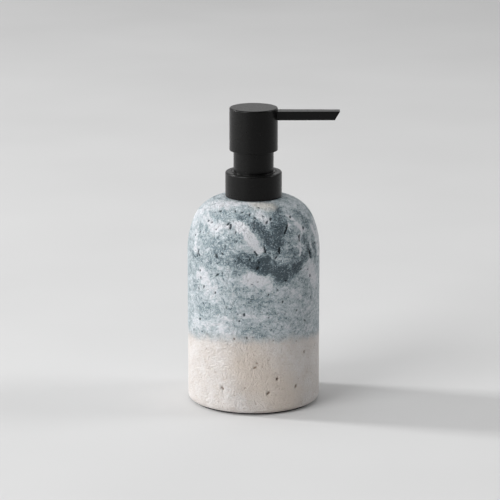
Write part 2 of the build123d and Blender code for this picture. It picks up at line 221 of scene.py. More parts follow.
slit_ends = []
for turn, height, long, slant in slits:
    rise = long / 2 * cos(radians(slant))
    around = long / 2 * sin(radians(slant)) / body_r * 180 / pi
    slit_ends += [skin_point(turn + side * around, height + side * rise) * MM for side in (-1, 1)]
slit_lines = bpy.data.meshes.new("slit_lines")
slit_lines.from_pydata(slit_ends, [(i, i + 1) for i in range(0, len(slit_ends), 2)], [])
slit_object = bpy.data.objects.new("slit_lines", slit_lines)
bpy.context.scene.collection.objects.link(slit_object)

# Cast stone, two pours of mineral powder in resin sealed matt: the eye sees cloudy swirls that
# break up into fine light and dark grains, a broad weak gloss, and bubbles with painted shade
# inside.
stone, tree, shader, in_mm = new_material("Matt_Sealed_Cast_Stone_In_Two_Pours")

# the swirls: strokes of lighter and darker slurry laid over the skin, each from one point (turn,
# height) to another with a half width and how much lighter or darker it is
strokes = [
    # light clouds and bands
    (-78, 108, -54, 117, 8, 0.2), (-40, 117, 0, 118, 3.4, 0.3), (-56, 109, -40, 107, 3.0, 0.2),
    (-38, 107, -16, 109, 2.6, 0.34), (-16, 109, -5, 103, 2.8, 0.42), (-5, 103, 3, 96, 3.2, 0.4),
    (8, 114, 15, 111, 3.6, 0.26), (42, 112, 50, 104, 1.8, 0.4), (50, 104, 44, 92, 1.5, 0.4),
    (38, 108, 42, 96, 1.2, 0.26), (56, 104, 62, 90, 1.1, 0.3), (70, 104, 74, 92, 2.0, 0.26),
    (24, 97, 34, 96, 1.4, 0.14), (58, 88, 66, 76, 3.0, 0.14), (-64, 103, -60, 92, 2.6, 0.18),
    (-6, 80, 0, 78, 4.2, 0.34), (0, 81, 12, 77, 3.6, 0.3), (-52, 79, -38, 69, 5.5, 0.26),
    (56, 82, 70, 72, 6, 0.24), (24, 71, 44, 69, 4, 0.12), (84, 104, 78, 90, 4, 0.24),
    (-64, 50, -30, 50, 4, 0.2), (-10, 58, 8, 57, 2.4, 0.14), (-24, 47, 60, 45, 3.4, 0.14),
    (-24, 57, 50, 57, 9, 0.07), (-20, 99, -6, 96, 1.2, 0.16), (30, 63, 60, 58, 2.4, 0.1),
    (-36, 86, -18, 84, 1.6, 0.14),
    # slate bands and patches
    (-42, 113, -16, 114, 3.4, -0.12), (-14, 112, 2, 108, 4.0, -0.2),
    (4, 108, 12, 102, 4.4, -0.26), (12, 104, 22, 100, 5, -0.22), (32, 116, 27, 107, 4.4, -0.36),
    (27, 107, 23, 98, 4.6, -0.34), (38, 104, 34, 95, 2.8, -0.26), (56, 113, 62, 106, 3.2, -0.24),
    (53, 100, 60, 88, 2.4, -0.34), (64, 98, 67, 84, 1.8, -0.24), (48, 98, 47, 91, 1.0, -0.26),
    (-8, 90, 6, 86.5, 5.4, -0.38), (-64, 88, -12, 85, 4.6, -0.13),
    (6, 86.5, 24, 81.5, 6.2, -0.42), (24, 82, 40, 84.5, 5.4, -0.38),
    (40, 84.5, 57, 91, 3.2, -0.34), (14, 98, 10, 90, 3.0, -0.24), (22, 93, 38, 91, 3.6, -0.16),
    (-44, 99, -24, 96, 3.4, -0.1), (-22, 101, -14, 98, 2.0, -0.18),
    (-34, 92, -18, 90, 4.6, -0.12), (-12, 65, 10, 67, 3.6, -0.08), (56, 64, 74, 60, 4, 0.1),
    (-58, 60, -18, 61, 3.4, -0.1), (-70, 82, -62, 70, 2.6, -0.12),
    # round the back
    (100, 100, 140, 106, 5, 0.28), (140, 106, 170, 96, 4, 0.34), (150, 80, 200, 74, 6, 0.26),
    (-150, 92, -110, 84, 4, 0.28), (-130, 112, -95, 108, 5, 0.24), (100, 66, 130, 60, 5, 0.2),
    (120, 94, 150, 90, 1.4, 0.3), (-170, 98, -140, 90, 1.5, 0.3), (96, 88, 130, 82, 4.4, -0.3),
    (130, 84, 160, 90, 4.6, -0.3), (-170, 106, -140, 102, 4.4, -0.28),
    (-130, 98, -100, 94, 4, -0.2), (-160, 64, -120, 58, 5, -0.16), (-110, 74, -90, 92, 4, -0.22),
    (160, 58, 190, 62, 4, -0.14),
]
place = in_mm
for size, push, detail in ((16.0, 8.0, 3.0), (4.5, 4.4, 4.0), (1.3, 0.9, 3.0)):
    stir = add(tree, "ShaderNodeTexNoise", inputs={
        "Vector": place, "Scale": 1 / size, "Detail": detail, "Roughness": 0.55})
    stir = add(tree, "ShaderNodeVectorMath.SUBTRACT", stir.outputs["Color"], (0.5, 0.5, 0.5))
    stir = add(tree, "ShaderNodeVectorMath.SCALE", stir, inputs={"Scale": push})
    place = add(tree, "ShaderNodeVectorMath.ADD", place, stir)


def stroke_weight(turn, height, end_turn, end_height, half_width, strength):
    """How much one stroke counts at the shaded point, fading out over its edges."""
    start = skin_point(turn, height)
    run = skin_point(end_turn, end_height) - start
    from_start = add(tree, "ShaderNodeVectorMath.SUBTRACT", place, start)
    share = add(tree, "ShaderNodeVectorMath.DOT_PRODUCT", from_start, run / run.length_squared)
    share = add(tree, "ShaderNodeClamp", share)
    beside = add(tree, "ShaderNodeVectorMath.SCALE", run, inputs={"Scale": share})
    distance = add(tree, "ShaderNodeVectorMath.DISTANCE", from_start, beside)
    return add(tree, "ShaderNodeMapRange", distance, half_width * 1.35, half_width * 0.25, 0.0,
               strength, interpolation_type="SMOOTHSTEP")


tone = 0.63
for stroke in strokes:
    tone = add(tree, "ShaderNodeMath.ADD", tone, stroke_weight(*stroke))
# cloudiness of 9 mm and less, ragged flecks of 3 mm drawn out level, and the mineral's own grain
drawn_out = add(tree, "ShaderNodeVectorMath.MULTIPLY", place, (1.0, 1.0, 1.7))
for size, detail, spread, strength in ((9.0, 5.0, 0.2, 0.1), (3.4, 7.0, 0.12, 0.13),
                                       (1.4, 3.0, 0.12, 0.08)):
    cloud = add(tree, "ShaderNodeTexNoise", inputs={
        "Vector": drawn_out, "Scale": 1 / size, "Detail": detail, "Roughness": 0.7})
    cloud = add(tree, "ShaderNodeMapRange", cloud, 0.5 - spread, 0.5 + spread, -strength, strength,
                interpolation_type="SMOOTHSTEP")
    tone = add(tree, "ShaderNodeMath.ADD", tone, cloud)
# grains of crushed white and slate mineral, 0.3 to 0.5 mm, drawn at 0.8 and 0.9 mm so that they
# show. They are strongest in the slate and nearly lost in the white, and no slurry is quite black.
tone = add(tree, "ShaderNodeMath.MAXIMUM", tone, 0.1)
in_slate = add(tree, "ShaderNodeMapRange", tone, 0.8, 0.45, 0.15, 1.0)
for size, least, most, strength in ((0.8, 0.57, 0.67, 0.32), (0.9, 0.42, 0.33, -0.26)):
    grain = add(tree, "ShaderNodeTexNoise",
                inputs={"Vector": in_mm, "Scale": 1 / size, "Detail": 1.0})
    grain = add(tree, "ShaderNodeMapRange", grain, least, most, 0.0, strength)
    tone = add(tree, "ShaderNodeMath.MULTIPLY_ADD", grain, in_slate, tone)
slurry = add(tree, "ShaderNodeValToRGB", tone, stops=[
    (0.05, "#33434c"), (0.22, "#4d5f68"), (0.4, "#7a8b93"), (0.56, "#9eadb3"), (0.74, "#c2cbd0"),
    (0.92, "#dfe1e6")])

# the sand pour: warm off-white with soft 7 mm mottles and 1.1 mm grains that only just show, and
# a warmer patch in front near the foot
mottle = add(tree, "ShaderNodeTexNoise", inputs={"Vector": place, "Scale": 1 / 7, "Detail": 5.0})
speck = add(tree, "ShaderNodeTexNoise", inputs={"Vector": in_mm, "Scale": 1 / 1.1, "Detail": 3.0})
sand_tone = add(tree, "ShaderNodeMath.MULTIPLY_ADD", speck, 0.8, add(
    tree, "ShaderNodeMath.MULTIPLY_ADD", mottle, 0.8, -0.3))
sand = add(tree, "ShaderNodeValToRGB", sand_tone, stops=[
    (0.2, "#cac1b9"), (0.4, "#d3ccc7"), (0.58, "#d9d4d1"), (0.85, "#e4e1df")])
warm_side = stroke_weight(-4, 30, 26, 10, 15, 0.8)
sand = add(tree, "ShaderNodeMix", data_type="RGBA",
           inputs={0: warm_side, 6: sand, 7: linear("#d8cbbf")})

# where the pours meet, and the warm patch of the first pour that shows by the neck
meeting = add(tree, "ShaderNodeTexNoise",
              inputs={"Vector": place, "Scale": 1 / 8, "Detail": 8.0, "Roughness": 0.75})
tilted = add(tree, "ShaderNodeVectorMath.DOT_PRODUCT", in_mm, (0.0, 0.13, 1.0))  # it set aslant
level = add(tree, "ShaderNodeMath.MULTIPLY_ADD", meeting, 11.0, tilted.outputs["Value"])
upper = add(tree, "ShaderNodeMapRange", level, 41.0, 49.0, interpolation_type="SMOOTHSTEP")
warm = stroke_weight(6, 118, 25, 117.5, 5.4, 0.85)
slurry = add(tree, "ShaderNodeMix", data_type="RGBA",
             inputs={0: warm, 6: slurry, 7: linear("#d0cdc6")})
colour = add(tree, "ShaderNodeMix", data_type="RGBA", inputs={0: upper, 6: sand, 7: slurry})

# bubbles: pinholes too small for the mesh, and the shade inside all of them
pinholes = add(tree, "ShaderNodeTexVoronoi", inputs={"Vector": in_mm, "Scale": 1 / 2.1})
rarity = add(tree, "ShaderNodeSeparateColor", pinholes.outputs["Color"])
hole_r = add(tree, "ShaderNodeMapRange", rarity.outputs[0], 0.45, 1.0, 0.0, 0.17)
pinhole = add(tree, "ShaderNodeMath.DIVIDE", pinholes.outputs["Distance"],
              add(tree, "ShaderNodeMath.MAXIMUM", hole_r, 0.0001))
pinhole = add(tree, "ShaderNodeMapRange", pinhole, 1.0, 0.5, interpolation_type="SMOOTHSTEP")
pressed_pit = add(tree, "ShaderNodeAttribute", attribute_name="pit").outputs["Fac"]
pit_shade = add(tree, "ShaderNodeMapRange", pressed_pit, 0.25, 0.9, interpolation_type="SMOOTHSTEP")
shade = add(tree, "ShaderNodeMath.MAXIMUM", pit_shade,
            add(tree, "ShaderNodeMath.MULTIPLY", pinhole, 0.8))
# painted shade: the colour of the pits, slits and pinholes is darkened as if shade fell inside
# them, to a deeper sand tone in the sand pour and to slate grey in the marble
painted_pit_shade_colour = add(tree, "ShaderNodeMix", data_type="RGBA",
             inputs={0: upper, 6: linear("#bdb1a6"), 7: linear("#5c656b")})
with_painted_pit_shade = add(tree, "ShaderNodeMix", data_type="RGBA", blend_type="MULTIPLY",
           inputs={0: shade, 6: colour, 7: painted_pit_shade_colour})
tree.links.new(with_painted_pit_shade.outputs[2], shader.inputs["Base Color"])

# relief: a torn skin with 2.6 mm lumps, higher in the marble than in the sand, under the 1.1 mm
# grains and a tooth of 0.5 mm
tooth = add(tree, "ShaderNodeTexNoise", inputs={"Vector": in_mm, "Scale": 1 / 0.5, "Detail": 3.0})
lumps = add(tree, "ShaderNodeTexNoise", inputs={
    "Vector": in_mm, "Scale": 1 / 2.6, "Detail": 6.0, "Roughness": 0.68})
lump_high = add(tree, "ShaderNodeMapRange", upper, 0.0, 1.0, 1.5, 3.2)
relief = add(tree, "ShaderNodeMath.MULTIPLY_ADD", pinhole, -1.4, tooth)
relief = add(tree, "ShaderNodeMath.MULTIPLY_ADD", speck, 1.3, relief)
relief = add(tree, "ShaderNodeMath.MULTIPLY_ADD", lumps, lump_high, relief)
bump = add(tree, "ShaderNodeBump", inputs={"Height": relief, "Distance": 0.8 * MM, "Strength": 1.0})
tree.links.new(bump.outputs[0], shader.inputs["Normal"])
rough = add(tree, "ShaderNodeMapRange", tooth, 0.3, 0.7, 0.36, 0.5)
rough = add(tree, "ShaderNodeMath.MULTIPLY_ADD", shade, 0.3, rough)
tree.links.new(rough.outputs[0], shader.inputs["Roughness"])
shader.inputs["IOR"].default_value = 1.5

# The tree samples the outline's splines onto grids, turns them round the axis, then presses the
# pits in. Only the second spline, the skin that is seen, gets a fine grid.
sizes = {"Around": 424, "Skin Rows": 198, "Pit Gap": 3.1, "Pit Depth": 0.5, "Slit Depth": 0.8,
         "Unevenness": 0.16, "Seed": 11}
tree, given = new_tree("Turned and Pitted Bottle", sizes)
joined = add(tree, "GeometryNodeJoinGeometry")
for number, rows in enumerate((3, given["Skin Rows"], 2, 2, 2, 14, 2, 3)):
    grid = add(tree, "GeometryNodeMeshGrid", 1.0, 1.0, given["Around"], rows)
    spot = add(tree, "ShaderNodeSeparateXYZ", add(tree, "GeometryNodeInputPosition"))
    along = add(tree, "ShaderNodeMath.ADD", spot.outputs["Y"], 0.5)
    sample = add(tree, "GeometryNodeSampleCurve", given["Geometry"], mode="FACTOR",
                 inputs={"Factor": along, "Curve Index": number})
    turn = add(tree, "ShaderNodeMath.MULTIPLY_ADD", spot.outputs["X"], 2 * pi, pi)
    spun = add(tree, "ShaderNodeVectorRotate", rotation_type="Z_AXIS",
               inputs={"Vector": sample.outputs["Position"], "Angle": turn})
    turned = add(tree, "GeometryNodeSetPosition", grid.outputs["Mesh"], inputs={"Position": spun})
    tree.links.new(turned.outputs[0], joined.inputs[0])
seam_gap = 0.00002
merged = add(tree, "GeometryNodeMergeByDistance", joined, inputs={"Distance": seam_gap})

# where the skin may be marked: not on the foot, under the collar or inside, fading in over these
# heights and radii, in metres
foot_clear, foot_marked = 0.0025, 0.0055
collar_clear, collar_marked = 0.0162, 0.019
here = add(tree, "GeometryNodeInputPosition")
normal = add(tree, "GeometryNodeInputNormal")
height = add(tree, "ShaderNodeSeparateXYZ", here).outputs["Z"]
from_axis = add(tree, "ShaderNodeVectorMath.LENGTH",
                add(tree, "ShaderNodeVectorMath.MULTIPLY", here, (1.0, 1.0, 0.0)))
outward = add(tree, "ShaderNodeVectorMath.DOT_PRODUCT", normal, here)
open_skin = add(tree, "ShaderNodeMath.MULTIPLY",
                add(tree, "ShaderNodeMapRange", height, foot_clear, foot_marked),
                add(tree, "ShaderNodeMapRange", from_axis, collar_clear, collar_marked))
open_skin = add(tree, "ShaderNodeMath.MULTIPLY", open_skin,
                add(tree, "ShaderNodeMath.GREATER_THAN", outward, 0.0))

# open bubbles: scattered ovals, each with its own size and direction, and fewer of them in the
# sand pour. Sizes are in metres.
sand_ends, marble_starts = 0.041, 0.045
share_in_sand = 0.42
smallest_half_width, widest_extra = 0.00034, 0.00075
in_sand = add(tree, "ShaderNodeMapRange", height, sand_ends, marble_starts, share_in_sand, 1.0)
scatter = add(tree, "GeometryNodeDistributePointsOnFaces", merged, distribute_method="POISSON",
              inputs={"Distance Min": add(tree, "ShaderNodeMath.MULTIPLY", given["Pit Gap"], MM),
                      "Density Max": 90000.0, "Seed": given["Seed"], "Density Factor": add(
                          tree, "ShaderNodeMath.MULTIPLY", open_skin, in_sand)})
bubbles = scatter.outputs["Points"]
nearest = add(tree, "GeometryNodeSampleNearest", bubbles, domain="POINT")
index = add(tree, "GeometryNodeInputIndex")
centre = add(tree, "GeometryNodeSampleIndex", bubbles, add(tree, "GeometryNodeInputPosition"),
             nearest, data_type="FLOAT_VECTOR", domain="POINT")
traits = []
for number, (least, most) in enumerate(((-1.1, 1.1), (0.0, 1.0), (0.45, 0.95))):
    lot = add(tree, "FunctionNodeRandomValue", data_type="FLOAT",
              inputs={2: least, 3: most, "ID": index,
                      "Seed": add(tree, "ShaderNodeMath.ADD", given["Seed"], number)})
    traits.append(add(tree, "GeometryNodeSampleIndex", bubbles, lot, nearest, domain="POINT"))
lean, size, stretch = traits
size = add(tree, "ShaderNodeMath.POWER", size, 2.6)  # most bubbles are small
half_wide = add(tree, "ShaderNodeMath.MULTIPLY_ADD", size, widest_extra, smallest_half_width)
away = add(tree, "ShaderNodeVectorMath.SUBTRACT", here, centre)
across = add(tree, "ShaderNodeVectorMath.CROSS_PRODUCT", (0.0, 0.0, 1.0), normal)
across = add(tree, "ShaderNodeVectorMath.NORMALIZE", across)
upward = add(tree, "ShaderNodeVectorMath.CROSS_PRODUCT", normal, across)
east = add(tree, "ShaderNodeVectorMath.DOT_PRODUCT", away, across)
north = add(tree, "ShaderNodeVectorMath.DOT_PRODUCT", away, upward)
oval = add(tree, "ShaderNodeCombineXYZ", east, north, 0.0)
oval = add(tree, "ShaderNodeVectorRotate", rotation_type="Z_AXIS",
           inputs={"Vector": oval, "Angle": lean})
oval = add(tree, "ShaderNodeVectorMath.MULTIPLY", oval,
           add(tree, "ShaderNodeCombineXYZ", 1.0, stretch))
reach = add(tree, "ShaderNodeVectorMath.LENGTH", oval)
rough_edge = add(tree, "ShaderNodeTexNoise",  # frays the rims in steps of about 1.1 mm
                 inputs={"Vector": here, "Scale": 900.0, "Detail": 2.0})
ragged = add(tree, "ShaderNodeMath.MULTIPLY_ADD", rough_edge, 1.8, 0.1)
reach = add(tree, "ShaderNodeMath.MULTIPLY", reach, ragged)
reach = add(tree, "ShaderNodeMath.DIVIDE", reach, half_wide)
pit = add(tree, "ShaderNodeMapRange", reach, 1.0, 0.25, interpolation_type="SMOOTHSTEP")
pit = add(tree, "ShaderNodeMath.MULTIPLY", pit, add(
    tree, "ShaderNodeMath.MULTIPLY_ADD", size, 0.6, 0.55))

# the slits, as deep grooves along their lines, this far from them in metres
slit_rim, slit_floor = 0.00085, 0.0003
lines = add(tree, "GeometryNodeObjectInfo", inputs={"Object": slit_object})
near_line = add(tree, "GeometryNodeProximity", lines.outputs["Geometry"], target_element="EDGES")
near_line = add(tree, "ShaderNodeMath.MULTIPLY", near_line.outputs["Distance"], ragged)
slit = add(tree, "ShaderNodeMapRange", near_line, slit_rim, slit_floor,
           interpolation_type="SMOOTHSTEP")

# low waves of about 13 mm left by the mould, then everything pressed in along the normal
waves = add(tree, "ShaderNodeTexNoise", inputs={"Vector": here, "Scale": 75.0, "Detail": 3.0})
wave = add(tree, "ShaderNodeMath.MULTIPLY", add(tree, "ShaderNodeMath.SUBTRACT", waves, 0.5),
           given["Unevenness"])
sunk = add(tree, "ShaderNodeMath.MAXIMUM",
           add(tree, "ShaderNodeMath.MULTIPLY", pit, given["Pit Depth"]),
           add(tree, "ShaderNodeMath.MULTIPLY", slit, given["Slit Depth"]))
shift = add(tree, "ShaderNodeMath.MULTIPLY", add(tree, "ShaderNodeMath.SUBTRACT", wave, sunk), MM)
shift = add(tree, "ShaderNodeMath.MULTIPLY", shift, open_skin)
marks = add(tree, "ShaderNodeMath.MULTIPLY", open_skin,
            add(tree, "ShaderNodeMath.MAXIMUM", pit, slit))
marked = add(tree, "GeometryNodeStoreNamedAttribute", merged, data_type="FLOAT", domain="POINT",
             inputs={"Name": "pit", "Value": marks})
pressed = add(tree, "GeometryNodeSetPosition", marked, inputs={
    "Offset": add(tree, "ShaderNodeVectorMath.SCALE", normal, inputs={"Scale": shift})})
soft = add(tree, "GeometryNodeSetShadeSmooth", pressed)
real = add(tree, "GeometryNodeRealizeInstances", soft)
coated = add(tree, "GeometryNodeSetMaterial", real, inputs={"Material": stone})
add(tree, "NodeGroupOutput", coated)
bottle = grown("cast_stone_bottle", bottle_outline, tree, sizes)
bpy.data.objects.remove(slit_object)
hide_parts("bottle_body")
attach(bottle, "bottle")

# --- base pad -----------------------------------------------------------------------------------
# A disc of closed-cell foam, 1 mm thick, glued under the bottle so that it doesn't slip or scratch.
# It was punched from sheet, so its face shows the cells cut open and its edge is plain.


def finish_node(name, material):
    """Gives a CAD node its finish."""
    for slot in nodes[name].material_slots:
        slot.material = material


# EVA foam, closed cell, cut face: dead matt charcoal with cells of about half a millimetre
foam, tree, shader, in_mm = new_material("Charcoal_Closed_Cell_EVA_Foam")
cells = add(tree, "ShaderNodeTexVoronoi", inputs={"Vector": in_mm, "Scale": 1 / 0.5})
tint = add(tree, "ShaderNodeValToRGB", cells.outputs["Distance"],
           stops=[(0.1, "#1c1c1d"), (0.6, "#2b2b2d")])
tree.links.new(tint.outputs[0], shader.inputs["Base Color"])
dents = add(tree, "ShaderNodeBump", inputs={"Height": cells.outputs["Distance"],
                                            "Distance": 0.08 * MM, "Strength": 0.6})
tree.links.new(dents.outputs[0], shader.inputs["Normal"])
shader.inputs["Roughness"].default_value = 0.92
finish_node("base_pad", foam)

# --- neck insert and its seals ------------------------------------------------------------------
# A moulded black neck with the male thread, bonded into the stone's mouth. Two silicone rings sit
# in grooves round its spigot and keep the soap out of the joint.

# polypropylene, injection moulded from a spark-eroded tool: black, faintly waxy, fine even texture
black_plastic, tree, shader, in_mm = new_material("Black_Moulded_Polypropylene")
texture = add(tree, "ShaderNodeTexNoise",
              inputs={"Vector": in_mm, "Scale": 1 / 0.12, "Detail": 2.0})
flow = add(tree, "ShaderNodeTexNoise", inputs={"Vector": in_mm, "Scale": 1 / 6, "Detail": 2.0})
tint = add(tree, "ShaderNodeValToRGB", flow, stops=[(0.3, "#101010"), (0.7, "#171717")])
tree.links.new(tint.outputs[0], shader.inputs["Base Color"])
dents = add(tree, "ShaderNodeBump",
            inputs={"Height": texture, "Distance": 0.02 * MM, "Strength": 0.35})
tree.links.new(dents.outputs[0], shader.inputs["Normal"])
rough = add(tree, "ShaderNodeMapRange", flow, 0.3, 0.7, 0.42, 0.5)
tree.links.new(rough.outputs[0], shader.inputs["Roughness"])
shader.inputs["IOR"].default_value = 1.49
finish_node("neck_insert", black_plastic)

# silicone rubber, moulded and dusted with talc: brick red, soft and dull, paler where dust clings
silicone, tree, shader, in_mm = new_material("Brick_Red_Silicone_Rubber")
dust = add(tree, "ShaderNodeTexNoise", inputs={"Vector": in_mm, "Scale": 1 / 0.9, "Detail": 4.0})
tint = add(tree, "ShaderNodeValToRGB", dust, stops=[(0.35, "#8a3024"), (0.75, "#a2513f")])
tree.links.new(tint.outputs[0], shader.inputs["Base Color"])
rough = add(tree, "ShaderNodeMapRange", dust, 0.3, 0.7, 0.55, 0.72)
tree.links.new(rough.outputs[0], shader.inputs["Roughness"])
shader.inputs["IOR"].default_value = 1.41
finish_node("insert_seals", silicone)

# --- screw collar -------------------------------------------------------------------------------
# A drawn stainless cup, coated satin black, pressed over a moulded liner that carries the female
# thread. Fine ribs on the liner bite into the cup.

# cured polyester coating, about 0.07 mm thick, sprayed on steel: neutral near-black, a soft sheen
# that is bright at grazing angles, waves of orange peel 1 to 2 mm long and a little fine grit
coat, tree, shader, in_mm = new_material("Satin_Black_Cured_Coating_On_Steel")
peel = add(tree, "ShaderNodeTexNoise", inputs={"Vector": in_mm, "Scale": 1 / 1.4, "Detail": 1.0})
grit = add(tree, "ShaderNodeTexNoise", inputs={"Vector": in_mm, "Scale": 1 / 0.2, "Detail": 2.0})
skin = add(tree, "ShaderNodeMath.MULTIPLY_ADD", grit, 0.25, peel)
tint = add(tree, "ShaderNodeValToRGB", grit, stops=[(0.3, "#080808"), (0.7, "#0c0c0b")])
tree.links.new(tint.outputs[0], shader.inputs["Base Color"])
dents = add(tree, "ShaderNodeBump", inputs={"Height": skin, "Distance": 0.03 * MM, "Strength": 0.3})
tree.links.new(dents.outputs[0], shader.inputs["Normal"])
rough = add(tree, "ShaderNodeMapRange", peel, 0.3, 0.7, 0.27, 0.32)
tree.links.new(rough.outputs[0], shader.inputs["Roughness"])
shader.inputs["Specular IOR Level"].default_value = 0.18
finish_node("collar_shell", coat)

# polypropylene without pigment: milky off-white, a little light bleeds through thin walls
natural_plastic, tree, shader, in_mm = new_material("Natural_Moulded_Polypropylene")
flow = add(tree, "ShaderNodeTexNoise", inputs={"Vector": in_mm, "Scale": 1 / 5, "Detail": 3.0})
tint = add(tree, "ShaderNodeValToRGB", flow, stops=[(0.3, "#dcdcd5"), (0.7, "#e9e9e4")])
tree.links.new(tint.outputs[0], shader.inputs["Base Color"])
rough = add(tree, "ShaderNodeMapRange", flow, 0.3, 0.7, 0.36, 0.46)
tree.links.new(rough.outputs[0], shader.inputs["Roughness"])
shader.inputs["IOR"].default_value = 1.49
shader.inputs["Subsurface Weight"].default_value = 0.25
shader.inputs["Subsurface Radius"].default_value = (1.0, 0.95, 0.85)
shader.inputs["Subsurface Scale"].default_value = 1.2 * MM
finish_node("collar_liner", natural_plastic)

# --- pump cylinder ------------------------------------------------------------------------------
# A moulded cylinder hangs in the neck from its flange, over a foam gasket. A polished ball sits on
# the inlet at its foot as the one-way valve, and the dip tube is pushed into its tail.
finish_node("pump_housing", natural_plastic)

# polyethylene foam gasket: white and matt, with cells of about 0.35 mm
gasket, tree, shader, in_mm = new_material("White_Polyethylene_Foam_Gasket")
cells = add(tree, "ShaderNodeTexVoronoi", inputs={"Vector": in_mm, "Scale": 1 / 0.35})
tint = add(tree, "ShaderNodeValToRGB", cells.outputs["Distance"],
           stops=[(0.1, "#d2d2ce"), (0.6, "#ecece8")])
tree.links.new(tint.outputs[0], shader.inputs["Base Color"])
dents = add(tree, "ShaderNodeBump", inputs={"Height": cells.outputs["Distance"],
                                            "Distance": 0.05 * MM, "Strength": 0.5})
tree.links.new(dents.outputs[0], shader.inputs["Normal"])
shader.inputs["Roughness"].default_value = 0.85
finish_node("neck_gasket", gasket)

# bearing ball, 316 stainless, lapped: a near mirror with a trace of fine haze
ball_steel, tree, shader, in_mm = new_material("Lapped_Stainless_Ball")
haze = add(tree, "ShaderNodeTexNoise", inputs={"Vector": in_mm, "Scale": 1 / 0.8, "Detail": 3.0})
tint = add(tree, "ShaderNodeValToRGB", haze, stops=[(0.3, "#bdbcb9"), (0.7, "#c9c8c5")])
tree.links.new(tint.outputs[0], shader.inputs["Base Color"])
rough = add(tree, "ShaderNodeMapRange", haze, 0.3, 0.7, 0.06, 0.13)
tree.links.new(rough.outputs[0], shader.inputs["Roughness"])
shader.inputs["Metallic"].default_value = 1.0
finish_node("inlet_ball", ball_steel)

# low-density polyethylene, extruded: milky and waxy, with faint die lines along its length
tube_plastic, tree, shader, in_mm = new_material("Milky_Extruded_Polyethylene")
lengthwise = add(tree, "ShaderNodeVectorMath.MULTIPLY", in_mm, (1.0, 1.0, 0.02))
die_lines = add(tree, "ShaderNodeTexNoise",
                inputs={"Vector": lengthwise, "Scale": 1 / 0.4, "Detail": 3.0})
tint = add(tree, "ShaderNodeValToRGB", die_lines, stops=[(0.3, "#d3d6d4"), (0.7, "#e4e7e5")])
tree.links.new(tint.outputs[0], shader.inputs["Base Color"])
dents = add(tree, "ShaderNodeBump",
            inputs={"Height": die_lines, "Distance": 0.02 * MM, "Strength": 0.4})
tree.links.new(dents.outputs[0], shader.inputs["Normal"])
shader.inputs["Roughness"].default_value = 0.3
shader.inputs["IOR"].default_value = 1.51
shader.inputs["Subsurface Weight"].default_value = 0.5
shader.inputs["Subsurface Radius"].default_value = (1.0, 1.0, 1.0)
shader.inputs["Subsurface Scale"].default_value = 1.5 * MM
finish_node("dip_tube", tube_plastic)

# --- neck sleeve and stem guide -----------------------------------------------------------------
# A drawn stainless skin, coated with the collar, over a moulded guide that steers the stem. The
# sleeve's rolled foot shows as a thin ring in the collar's hole.
finish_node("neck_sleeve", coat)
finish_node("stem_guide", black_plastic)

# --- return spring ------------------------------------------------------------------------------
# Stainless wire 0.9 mm thick, wound into nine coils with closed ends that are ground flat. It
# stands on the cylinder's ledge and pushes the valve pin and the head up.

# cold-drawn 302 wire: grey steel with faint drawing lines round the wire's turns
wire_steel, tree, shader, in_mm = new_material("Cold_Drawn_Stainless_Spring_Wire")
drawn_thin = add(tree, "ShaderNodeVectorMath.MULTIPLY", in_mm, (1.0, 1.0, 7.0))
lines = add(tree, "ShaderNodeTexNoise",
            inputs={"Vector": drawn_thin, "Scale": 1 / 0.7, "Detail": 3.0})
tint = add(tree, "ShaderNodeValToRGB", lines, stops=[(0.3, "#a3a29e"), (0.7, "#bcbbb7")])
tree.links.new(tint.outputs[0], shader.inputs["Base Color"])
rough = add(tree, "ShaderNodeMapRange", lines, 0.3, 0.7, 0.22, 0.36)
tree.links.new(rough.outputs[0], shader.inputs["Roughness"])
shader.inputs["Metallic"].default_value = 1.0

low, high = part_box("return_spring")
wire = 0.9 * MM
sizes = {"Coils": 9, "Wire": wire, "Middle Radius": high.x - wire / 2, "Foot": low.z,
         "Top": high.z, "Points a Coil": 40}
tree, given = new_tree("Wound Compression Spring", sizes)
count = add(tree, "ShaderNodeMath.MULTIPLY", given["Coils"], given["Points a Coil"])
count = add(tree, "ShaderNodeMath.ADD", count, 1.0)
centre_line = add(tree, "GeometryNodeMeshLine", count, inputs={"Offset": (0.0, 0.0, MM)})
turns = add(tree, "ShaderNodeMath.DIVIDE", add(tree, "GeometryNodeInputIndex"),
            given["Points a Coil"])
angle = add(tree, "ShaderNodeMath.MULTIPLY", turns, 2 * pi)
# the first and the last turn lie flat against their neighbours, and the rest share the height
last = add(tree, "ShaderNodeMath.SUBTRACT", given["Coils"], 1.0)
wire_middle = add(tree, "ShaderNodeMath.MULTIPLY", given["Wire"], 0.5)
low_end = add(tree, "ShaderNodeMath.MULTIPLY_ADD", given["Wire"], 0.25, given["Foot"])
low_turn = add(tree, "ShaderNodeMath.MULTIPLY_ADD", given["Wire"], 1.25, given["Foot"])
high_end = add(tree, "ShaderNodeMath.MULTIPLY_ADD", given["Wire"], -0.25, given["Top"])
high_turn = add(tree, "ShaderNodeMath.MULTIPLY_ADD", given["Wire"], -1.25, given["Top"])
climb_low = add(tree, "ShaderNodeMapRange", turns, 0.0, 1.0, low_end, low_turn)
climb_mid = add(tree, "ShaderNodeMapRange", turns, 1.0, last, 0.0, add(
    tree, "ShaderNodeMath.SUBTRACT", high_turn, low_turn))
climb_top = add(tree, "ShaderNodeMapRange", turns, last, given["Coils"], 0.0, given["Wire"])
rise = add(tree, "ShaderNodeMath.ADD", climb_low, climb_mid)
rise = add(tree, "ShaderNodeMath.ADD", rise, climb_top)
east = add(tree, "ShaderNodeMath.MULTIPLY", given["Middle Radius"],
           add(tree, "ShaderNodeMath.COSINE", angle))
north = add(tree, "ShaderNodeMath.MULTIPLY", given["Middle Radius"],
            add(tree, "ShaderNodeMath.SINE", angle))
wound = add(tree, "GeometryNodeSetPosition", centre_line,
            inputs={"Position": add(tree, "ShaderNodeCombineXYZ", east, north, rise)})
path = add(tree, "GeometryNodeMeshToCurve", wound)
section = add(tree, "GeometryNodeCurvePrimitiveCircle", 10, inputs={"Radius": wire_middle})
